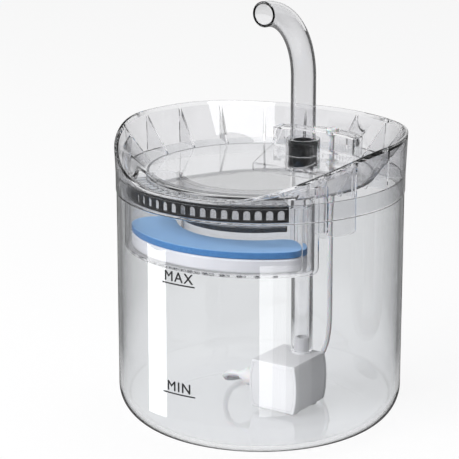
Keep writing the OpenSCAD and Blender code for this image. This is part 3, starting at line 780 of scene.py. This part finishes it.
# its bevelled cut ends take the edge with painted shade, a dark line round the mouth
paint(spout, spout_plastic, lid_edge_painted_shade)
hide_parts("spout")
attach(spout, "spout_body")


# ---------------------------- filter box
# A clear moulded cup in the pad's own outline, drilled with drain holes below,
# with a wide curved front panel that slides down off the tray's two guides.
pad_r, pad_end, pad_middle = 75.2, 13.0, 51.0
end_at = (pad_r - pad_end) * math.sin(math.radians(45))
back_sum = pad_end + pad_middle
back_y = (back_sum**2 - 2 * end_at**2) / (2 * (back_sum - end_at))
back_r = pad_middle - back_y
back_turn = math.degrees(math.atan2(end_at - back_y, end_at))


def crescent(grow):
    """The pad's outline seen from above, grown by grow millimetres."""
    return (
        arc(0, 0, pad_r + grow, -135, -45, 60)
        + arc(end_at, -end_at, pad_end + grow, -45 + 4, 180 - back_turn, 44)
        + arc(0, -back_y, back_r - grow, -back_turn - 2, -180 + back_turn, 56)
        + arc(-end_at, -end_at, pad_end + grow, back_turn + 4, 225 - 4, 44)
    )


box_low, box_floor, box_top = 106.6, 108.0, 146.0
cup_out, cup_in = 3.8, 2.4
panel_out, panel_in, panel_turn = 79.1, 77.8, 57
ledge_in, ledge_low, ledge_top = 75.8, 136.4, 137.7
filter_box = raised("filter_box_cup", crescent(cup_out), box_low, box_top)
combine(filter_box, "DIFFERENCE", raised("cup_hollow", crescent(cup_in), box_floor, box_top + 5))
bevelled(filter_box, 0.35)
panel = curved_panel(
    "front_panel", panel_out, panel_in, -panel_turn, panel_turn, box_low + 0.2, -0.3, 4
)
ledge = ring_part("ledge", panel_in + 0.1, ledge_in, -45, 45, ledge_low, ledge_top)
combine(filter_box, "UNION", bevelled(panel, 0.45), bevelled(ledge, 0.3))
holes = [
    turned_about_axis(rod("hole", 2.0, box_low - 1, box_floor + 1, (0, -reach), 20), 8 * k)
    for k in range(-5, 6)
    for reach, last in ((66.5, 5), (58.1, 4))
    if abs(k) <= last
]
combine(filter_box, "DIFFERENCE", merged("holes", holes))
close_up(filter_box, 25)
box_plastic = clear_moulding("clear_moulded_box_plastic", "FBFBFC", "3C3E42", 0.84, 0.02)
# the panel's rims and the rounded edges take the near-black painted shade
paint(filter_box, box_plastic, edge_painted_near_black)
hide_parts("filter_box")
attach(filter_box, "box_body")


# ---------------------------- back guard
# A thin tinted wall, dark at its foot and nearly clear above, that hangs on the rear of the filter
# box's cup and keeps the pad from floating out over it.
def back_band(name, outer, inner, low, high):
    """The rear of the pad's outline, between two distances from it."""
    rear, front = (
        [p for p in crescent(grow) if abs(p[0]) <= guard_half and p[1] > -pad_middle - 2]
        for grow in (outer, inner)
    )
    return raised(name, sorted(rear) + sorted(front, reverse=True), low, high)


def smoked(name, low_code, high_code, fade_low, fade_high, clearness):
    """Smoke-tinted clear plastic, glossy: low_code is its tint at the foot and high_code
    its tint at the top, and it fades from one to the other between two heights."""
    material, tree = new_material(name)
    place = add(tree, "TexCoord").outputs["Object"]
    cloud = add(tree, "TexNoise", {"Vector": place}, {"Scale": 60, "Detail": 3})
    z = add(tree, "SeparateXYZ", {"Vector": place}).outputs["Z"]
    wander = add(tree, "Math", {0: cloud, 2: z}, {1: 2 * MM}, operation="MULTIPLY_ADD")
    height = add(
        tree, "MapRange", {"Value": wander},
        {"From Min": fade_low * MM, "From Max": fade_high * MM},
    )
    tint = add(tree, "ValToRGB", {"Fac": height}, ramp=((0, low_code), (1, high_code)))
    smoke = add(
        tree, "BsdfPrincipled", {"Base Color": tint},
        {"Roughness": 0.06, "IOR": 1.5, "Transmission Weight": clearness},
    )
    see_through(tree, smoke, links={"Color": tint})
    return material


guard_half, guard_low, guard_top, flange = 38.0, 124.4, 147.1, 1.0
guard = back_band("smoked_back_guard", cup_in - 0.3, cup_in - 1.5, guard_low, guard_top)
flange_band = back_band("guard_flange", cup_out, 1.0, guard_top - flange, guard_top)
combine(guard, "UNION", flange_band)
bevelled(guard, 0.25, 60, 2, mark=-1)
smooth(guard)
# dark up to 127.5 mm, nearly clear from 130 mm
guard_plastic_dark_foot = smoked("guard_plastic_dark_at_foot", "3A3836", "EEEEEE", 127.5, 130, 0.95)
paint(guard, guard_plastic_dark_foot)
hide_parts("back_guard")
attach(guard, "box_body")

# ---------------------------- strainer
# A smoke-tinted L-shaped moulding with nineteen arched slots. Its lip rests on
# the tray floor, and its strip hangs down inside the filter box's front panel.
strip_in, strip_out, strip_low, strip_top = 76.1, 77.4, 138.0, 147.6
deck_low, lip_in, lip_out, lip_end, lip_low, lip_top = 146.2, 66.0, 67.2, 63.0, 149.1, 149.9
slot_w, slot_step, slot_count, slot_reach = 3.8, 4.6, 19, 44.5
slot_foot, slot_height = strip_low + 1.4, 5.4
lip_section = [
    (strip_in, strip_low), (strip_out, strip_low), (strip_out, strip_top), (lip_out, strip_top),
    (lip_out, lip_top), (lip_end, lip_top), (lip_end, lip_low), (lip_in, lip_low),
    (lip_in, deck_low), (strip_in, deck_low),
]
strainer = swept("comb_strainer_plate", lip_section, -slot_reach, slot_reach, 72)
half_w = slot_w / 2
spring = slot_foot + slot_height - half_w
arch = [(-half_w, slot_foot), (half_w, slot_foot)] + arc(0, spring, half_w, 0, 180, 10)
bar = [(-half_w, -74.5), (half_w, -74.5), (half_w, -67.6), (-half_w, -67.6)]
cutters = []
for k in range(slot_count):
    for cutter in (
        block("arch", [(x, -81, z) for x, z in arch], (0, 7, 0)),
        raised("bar", bar, deck_low - 1, strip_top + 1),
    ):
        cutters.append(turned_about_axis(cutter, (k - (slot_count - 1) / 2) * slot_step))
combine(strainer, "DIFFERENCE", merged("slots", cutters))
close_up(strainer, 30)
deep_smoke = smoked("deep_smoke_strainer_plastic", "101011", "1C1C1D", strip_low, strip_top, 0.5)
pale_smoke = smoked("pale_smoke_lip_plastic", "C9CACB", "DCDDDE", strip_low, strip_top, 1.0)
marked(strainer, 1, lambda face: face.center.z > (strip_top - 1.5) * MM)
paint(strainer, deep_smoke, pale_smoke)
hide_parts("comb_strainer")
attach(strainer, "strainer_body")


# ---------------------------- foam layer
# A die-cut slab of open-cell blue foam, the pad's upper layer. Its cut sides are painted a deeper
# blue than its top: painted shade on the upright sides.
def open_with(obj, test):
    """Opens obj in edit mode, with only those faces selected that pass the test."""
    pick(obj)
    bpy.ops.object.mode_set(mode="EDIT")
    mesh = bmesh.from_edit_mesh(obj.data)
    bpy.ops.mesh.select_all(action="DESELECT")
    for face in mesh.faces:
        face.select = test(face)
    bmesh.update_edit_mesh(obj.data)


def soft_slab(name, low, high, round_by):
    """A slab in the pad's outline, with soft edges and a fine mesh along them."""
    obj = raised(name, crescent(0), low, high)
    open_with(obj, lambda face: abs(face.normal.z) > 0.9)
    for width in (round_by, 1.6, 1.6):
        bpy.ops.mesh.inset(thickness=width * MM)
    bpy.ops.mesh.select_all(action="SELECT")
    bpy.ops.object.mode_set(mode="OBJECT")
    return bevelled(obj, round_by, 60, 4, mark=-1)


foam_low, foam_high = 116.6, 120.6
foam = soft_slab("blue_foam_layer", foam_low, foam_high, 0.45)
bpy.ops.object.shade_smooth_by_angle(angle=math.radians(50))
# reticulated foam: matt, soft blue, with cells of about 0.6 mm
blue_foam, tree = new_material("open_cell_blue_foam")
place = add(tree, "TexCoord").outputs["Object"]
cells = add(tree, "TexVoronoi", {"Vector": place}, {"Scale": 1400})
drift = add(tree, "TexNoise", {"Vector": place}, {"Scale": 45, "Detail": 3})
# painted shade: faces that point up take the top's tones, the upright cut sides darker side tones
facing = add(tree, "NewGeometry").outputs["True Normal"]
up = add(tree, "SeparateXYZ", {"Vector": facing}).outputs["Z"]
lit_top_share = add(tree, "MapRange", {"Value": up}, {"From Min": 0.25, "From Max": 0.8})
top_tones = add(tree, "ValToRGB", {"Fac": drift}, ramp=((0, "8DC2FA"), (1, "A6D6FF")))
painted_shade_side_tones = add(tree, "ValToRGB", {"Fac": cells}, ramp=((0, "3F7AB8"), (1, "5F9CD6")))
both = add(tree, "Mix", {0: lit_top_share, 6: painted_shade_side_tones, 7: top_tones}, data_type="RGBA")
pores = add(tree, "Bump", {"Height": cells}, {"Strength": 0.35, "Distance": 0.25 * MM})
shade = add(
    tree, "BsdfPrincipled", {"Base Color": both.outputs[2], "Normal": pores},
    {"Roughness": 0.9, "Sheen Weight": 0.25, "Specular IOR Level": 0.2},
)
add(tree, "OutputMaterial", {"Surface": shade})
paint(foam, blue_foam)
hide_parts("filter_foam")
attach(foam, "pad_body")

# ---------------------------- fleece layer
# A pouch of needled white fleece round the carbon, heat-sealed along its edge.
# It is the pad's lower layer, pressed flat by the foam above it.
wool_low, wool_high = 108.3, 116.5
fleece = soft_slab("white_fleece_layer", wool_low, wool_high, 1.2)
bpy.ops.object.shade_smooth_by_angle(angle=math.radians(60))
# needled polyester: matt white, fibrous, faintly mottled
white_fleece = grained(
    "needled_white_fleece", ("F2F3F6", "FFFFFF"), (120, 2),
    {"Roughness": 0.95, "Sheen Weight": 0.4, "Specular IOR Level": 0.2},
    relief=(0.4, 0.3), grain=(900, 6),
)
paint(fleece, white_fleece)
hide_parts("filter_wool")
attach(fleece, "pad_body")

# ---------------------------- riser hose
# A length of clear silicone hose. Its foot is pushed over the pump's nozzle and
# its head into the rubber sleeve, and it bows gently between the two.
nozzle_x, nozzle_y = 17.0, 20.0
hose_low, hose_high, hose_end = 36.3, 143.8, 16.0
hose_r, hose_wall, hose_points = 6.48, 1.95, 30
hose_route = []
for i in range(hose_points + 1):
    z = hose_low + (hose_high - hose_low) * i / hose_points
    s = min(1, max(0, (z - hose_low - hose_end) / (hose_high - hose_low - 2 * hose_end)))
    m = (1 - math.cos(math.pi * s)) / 2
    hose_route.append((nozzle_x * (1 - m), nozzle_y + (spout_y - nozzle_y) * m, z))
hose = tube("clear_riser_hose", hose_route, hose_r, 48)
open_with(hose, lambda face: abs(face.normal.z) > 0.99)
bpy.ops.mesh.delete(type="FACE")
bpy.ops.object.mode_set(mode="OBJECT")
finish_with(hose, "SOLIDIFY", thickness=hose_wall * MM, offset=-1, use_even_offset=True)
smooth(hose, 40)
hose_silicone = clear_moulding("clear_silicone_hose", "F8F8F9", "B8BABC", 0.8, 0.03)
paint(hose, hose_silicone)
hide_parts("riser_hose")
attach(hose, "lid_body")


# ---------------------------- pump
# A small submersible pump in white moulded plastic: a housing with bulging
# sides, a motor plate in front, a push-on intake cover behind, and a nozzle.
def barrel(less):
    """The pump's outline seen from behind: flat top and bottom, bulging sides."""
    half_w, half_h = pump_half_w - less, pump_half_h - less
    r = (half_h**2 + pump_bulge**2) / (2 * pump_bulge)
    a = math.degrees(math.asin((half_h - pump_chamfer) / r))
    x = half_w - r + r * math.cos(math.radians(a)) - pump_chamfer
    return (
        [(x, -half_h)] + arc(half_w - r, 0, r, -a, a, 16) + [(x, half_h), (-x, half_h)]
        + arc(r - half_w, 0, r, 180 - a, 180 + a, 16) + [(-x, -half_h)]
    )


def barrel_block(name, less, start, end):
    """The outline, extruded along the pump from start to end, measured from its rear."""
    points = [(pump_x + x, pump_rear - start, pump_mid + z) for x, z in barrel(less)]
    return block(name, points, (0, start - end, 0))


def laid(bar, axis, place):
    """Lays an upright bar down, turned about an axis, and moves it to its place."""
    bar.data.transform(Matrix.Rotation(math.pi / 2, 4, axis))
    bar.data.transform(Matrix.Translation(Vector(place) * MM))
    return bar


pump_x, pump_rear, pump_top = 13.7, 27.8, 34.5
pump_half_w, pump_half_h, pump_depth = 16.5, 14.75, 35.0
pump_chamfer, pump_bulge = 0.8, 1.8
pump_skin, cover_depth = 1.6, 2.2
volute_end, motor_start, plate_thick = 11.1, 13.5, 1.6
motor_axis = (pump_x, pump_rear, pump_mid)
base, tip = 5.4, 4.4
nozzle_section = [
    (r, pump_top + z)
    for r, z in (
        (0, -1.2), (base, -1.2), (base, 0.9), (base - 0.3, 1.2), (tip + 0.35, 1.25),
        (tip + 0.1, 1.6), (tip, 2.2), (tip, 9.3), (tip - 0.2, 9.8), (tip - 0.5, 10), (0, 10),
    )
]

housing = barrel_block("white_pump_housing", 0, cover_depth, pump_depth)
bevelled(housing, 0.7, 70, 3, mark=-1)
combine(
    housing, "DIFFERENCE",
    barrel_block("volute_room", pump_skin, cover_depth - 1, volute_end),
    barrel_block("motor_room", pump_skin, motor_start, pump_depth + 1),
    laid(rod("can_seat", 12.4, 10.1, 12.3, sides=64), "X", motor_axis),
    laid(rod("can_hole", 10.75, 10, 20, sides=64), "X", motor_axis),
)
nozzle = turned(
    "nozzle", [(nozzle_x + r, nozzle_y, z) for r, z in nozzle_section], 48, (nozzle_x, nozzle_y, 0)
)
combine(housing, "UNION", nozzle)
combine(
    housing, "DIFFERENCE",
    rod("nozzle_bore", 2.9, pump_top - 4, pump_top + 12, (nozzle_x, nozzle_y), 32),
    laid(rod("gland_hole", 3.1, -4, 4, sides=32), "Y", (gland_face, gland_y, pump_mid)),
)
close_up(housing, 30)

cover = barrel_block("white_intake_cover", 0, 0, cover_depth - 0.1)
bevelled(cover, 0.6, 70, 3, mark=-1)
cover_rim = barrel_block("cover_rim", pump_skin + 0.15, cover_depth - 0.2, cover_depth + 1.2)
combine(cover, "UNION", cover_rim)
cover_hollow = barrel_block("cover_hollow", pump_skin + 1.2, 1.2, cover_depth + 2)
combine(cover, "DIFFERENCE", cover_hollow)
slot_corners = ((-0.6, -6), (0.6, -6), (0.6, 6), (-0.6, 6))
slots = []
for k in range(-3, 4):
    points = [(pump_x + 3 * k + x, pump_rear + 1, pump_mid + z) for x, z in slot_corners]
    slots.append(block("slot", points, (0, -4, 0)))
combine(cover, "DIFFERENCE", merged("intake_slots", slots))
close_up(cover, 30)

plate = barrel_block(
    "white_motor_plate", pump_skin + 0.05, pump_depth - plate_thick, pump_depth
)
bevelled(plate, 0.35, 70, 3, mark=-1)
bpy.ops.object.shade_smooth_by_angle(angle=math.radians(35))

# moulded ABS: opaque white, semi-gloss, with a very fine spark-eroded grain
white_abs = grained(
    "white_moulded_abs", ("E4E4E5", "ECECED"), (40, 2), {"IOR": 1.53},
    relief=(0.05, 0.05), grain=(1600, 2), gloss=(0.32, 0.42),
)
for piece, node, body in (
    (housing, "pump_housing", "lid_body"),
    (cover, "pump_cover", "cover_body"),
    (plate, "pump_back", "lid_body"),
):
    paint(piece, white_abs)
    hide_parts(node)
    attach(piece, body)

# ---------------------------- gland, grommet and feet
# Three small mouldings in pale soft plastic: the bush where the lead leaves the
# pump, the grommet in the tray's shelf, and the pads that the pump stands on.
lead_bore = 1.8
gland_section = [
    (lead_bore, 2.6), (3.05, 2.6), (3.05, -0.1), (5.0, -0.1), (5.35, -0.25), (5.5, -0.6),
    (5.5, -6.9), (5.3, -7.3), (4.9, -7.5), (3.8, -7.55), (3.7, -8.0), (3.0, -11.2), (2.8, -11.4),
    (lead_bore, -11.4),
]
gland = turned(
    "lead_gland", [(gland_face + x, gland_y + r, pump_mid) for r, x in gland_section], 48,
    (0, gland_y, pump_mid), (1, 0, 0), closed=True,
)
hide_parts("cable_gland")
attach(gland, "lid_body")
grommet_section = [
    (lead_bore, 1.3), (3.4, 1.3), (3.7, 1.1), (3.75, 0.8), (3.75, 0.1), (2.7, 0.1), (2.7, -1.5),
    (3.7, -1.5), (3.75, -1.7), (3.75, -2.4), (3.5, -2.7), (lead_bore, -2.7),
]
grommet = turned(
    "shelf_grommet", [(grommet_x + r, grommet_y, shelf_top + z) for r, z in grommet_section], 40,
    (grommet_x, grommet_y, 0), closed=True,
)
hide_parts("lead_grommet")
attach(grommet, "lid_body")
foot_section = [(0, 3.15), (3.8, 3.15), (4.0, 3.4), (2.6, 4.9), (0, 4.95)]
foot_aside, foot_inset = 9, 7
feet = merged("pump_foot_pads", [
    turned("foot", [(x + r, y, z) for r, z in foot_section], 32, (x, y, 0))
    for x in (pump_x - foot_aside, pump_x + foot_aside)
    for y in (pump_rear - foot_inset, pump_rear - pump_depth + foot_inset)
])
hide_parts("pump_feet")
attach(feet, "lid_body")
for piece in (gland, grommet, feet):
    paint(piece, pale_vinyl)

# ---------------------------- pump's inside
# The motor, the impeller and the carbon, out of sight in the closed housing and pouch:
# they keep their solids and get the finish of what they are made of.
inner_finish = {
    "impeller_cover": white_abs, "impeller": white_abs, "rotor_can": white_abs,
    "shaft_bushes": black_silicone, "can_seal": black_silicone,
}
# node, finish, its two tones, its grain's scale, roughness, metallic share and relief
for node, finish, codes, scale, roughness, metallic, strength in (
    ("rotor_magnet", "bonded_ferrite", ("1B1B1D", "2E2E31"), 900, 0.6, 0, 0.2),
    ("rotor_shaft", "ground_stainless_steel", ("A8A9AC", "C9CACC"), 1500, 0.25, 1, 0.05),
    ("stator_core", "stacked_steel_sheet", ("5C5E63", "83858A"), 1200, 0.4, 1, 0.2),
    ("stator_coils", "enamelled_copper_wire", ("8A4A1E", "C77A3E"), 1800, 0.3, 1, 0.5),
    ("circuit_board", "green_circuit_board", ("0E3A1E", "1D5C31"), 700, 0.45, 0, 0.2),
    ("carbon_bed", "granular_carbon", ("0D0D0D", "2B2B2B"), 700, 0.85, 0, 1.0),
):
    inner_finish[node] = grained(
        finish, codes, (scale, 3), {"Roughness": roughness, "Metallic": metallic},
        relief=(strength, 0.1),
    )
for node, finish in inner_finish.items():
    paint(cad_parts[node], finish)


# ---------------------------- studio
# A pale floor that runs out of sight, and a white room. A soft key and a small fill give
# a plain level, and only the glossy plastic sees the gleam behind the fountain and the
# upright panels beside it.
def traced(tree):
    """The light path's outputs, and 1 for a ray that has met nothing but clear walls since
    it left the lens, so that matt pieces behind a wall aren't lit by what such a ray sees."""
    path = add(tree, "LightPath").outputs
    lined_up = add(
        tree, "Math", {0: path["Is Transmission Ray"], 1: path["Diffuse Depth"]},
        operation="SUBTRACT", use_clamp=True,
    )
    return path, lined_up


def soft_lamp(name, turn, height, distance, width, tall, power, glossy):
    """A rectangular lamp that faces the fountain; turn is measured from the front. It is
    seen by glossy surfaces alone, or else lights the matt ones alone."""
    pick()
    bpy.ops.object.light_add(type="AREA")
    lamp = bpy.context.object
    lamp.name = name
    lamp.data.shape = "RECTANGLE"
    lamp.data.size, lamp.data.size_y = width, tall
    lamp.data.energy = power
    a = math.radians(turn)
    lamp.location = (distance * math.sin(a), -distance * math.cos(a), height)
    aim = Vector((0, 0, min(0.1, height)))
    lamp.rotation_euler = (aim - lamp.location).to_track_quat("-Z", "Y").to_euler()
    lamp.visible_camera = False
    lamp.visible_transmission = False
    lamp.visible_diffuse = not glossy
    lamp.visible_glossy = glossy


pick()
bpy.ops.mesh.primitive_plane_add(size=12, location=(0, 0, -0.05 * MM))
floor = bpy.context.object
floor.name = "studio_floor"
floor.visible_glossy = False
pale_floor, tree = new_material("pale_studio_floor")
path, lined_up = traced(tree)
lit = add(tree, "BsdfDiffuse", {}, {"Color": linear("F4F4F5")})
glow = add(tree, "Emission", {}, {"Color": linear("FFFFFF"), "Strength": 1.0})
direct = add(tree, "Math", {0: path["Is Camera Ray"]}, {1: 0.85}, operation="MULTIPLY")
behind = add(tree, "Math", {0: lined_up}, {1: 0.7}, operation="MULTIPLY")
share = add(tree, "Math", {0: direct, 1: behind}, operation="MAXIMUM")
bright = add(tree, "MixShader", {"Fac": share, 1: lit, 2: glow})
# painted shade: a ray that has bounced inside the clear walls sees the floor dark grey away from
# the fountain's foot, in place of the dark room that real plastic reflects
later = add(
    tree, "MapRange", {"Value": path["Glossy Depth"]},
    {"From Min": 1, "From Max": 4, "To Min": 1, "To Max": 0},
)
echoes = add(tree, "Math", {0: path["Glossy Depth"], 1: later}, operation="MINIMUM")
place = add(tree, "TexCoord").outputs["Object"]
away = add(tree, "VectorMath", {0: place}, operation="LENGTH").outputs["Value"]
beyond = add(tree, "MapRange", {"Value": away}, {"From Min": 100 * MM, "From Max": 180 * MM})
dimmed = add(tree, "Math", {0: echoes, 1: beyond}, operation="MULTIPLY")
shaded = add(tree, "BsdfDiffuse", {}, {"Color": linear("4A4A4B")})
calm = add(tree, "MixShader", {"Fac": dimmed, 1: bright, 2: shaded})
add(tree, "OutputMaterial", {"Surface": calm})
paint(floor, pale_floor)

# the room is white to the lens, straight through clear walls and in reflections of the
# far side, and a dim level to all else
world = bpy.data.worlds.new("white_room")
bpy.context.scene.world = world
world.use_nodes = True
tree = world.node_tree
tree.nodes.clear()
path, lined_up = traced(tree)
glossy_ray = path["Is Glossy Ray"]
seen = add(tree, "Math", {0: path["Is Camera Ray"], 1: lined_up}, operation="MAXIMUM")
place = add(tree, "TexCoord").outputs["Generated"]
far_side = (-math.sin(view_turn), math.cos(view_turn), 0)
towards = add(
    tree, "VectorMath", {0: place}, {1: far_side}, operation="DOT_PRODUCT"
).outputs["Value"]
backdrop = add(tree, "MapRange", {"Value": towards}, {"From Min": 0.97, "From Max": 0.99})
mirrored = add(tree, "Math", {0: glossy_ray, 1: backdrop}, operation="MULTIPLY")
white = add(tree, "Math", {0: seen, 1: mirrored}, operation="MAXIMUM")
room = add(tree, "MapRange", {"Value": glossy_ray}, {"To Min": 0.3, "To Max": 0.15})
level = add(tree, "MapRange", {"Value": white, "To Min": room}, {"To Max": 1.0})
sky = add(tree, "Background", {"Strength": level}, {"Color": linear("FFFFFF")})
add(tree, "OutputWorld", {"Surface": sky})

soft_lamp("front_key", -20, 1.3, 1.9, 1.2, 1.2, 64, False)
soft_lamp("top_fill", 150, 2.0, 0.5, 1.2, 1.2, 6, False)
soft_lamp("rear_gleam", 57, 1.9, 0.97, 1.6, 0.8, 22, True)
for k, power in enumerate((0.233, 0.16, 0.0875, 0.037)):
    soft_lamp(
        "right_panel_" + str(k), 37.6 + 9.87 * k, -0.1045, 0.6, 0.1035, 0.131, power, True
    )
soft_lamp("left_panel", -51.9, -0.119, 0.6, 0.21, 0.16, 0.71, True)

scene = bpy.context.scene
scene.view_settings.view_transform = "Standard"
scene.cycles.max_bounces = 32
scene.cycles.transmission_bounces = 32
scene.cycles.glossy_bounces = 24
scene.cycles.transparent_max_bounces = 32
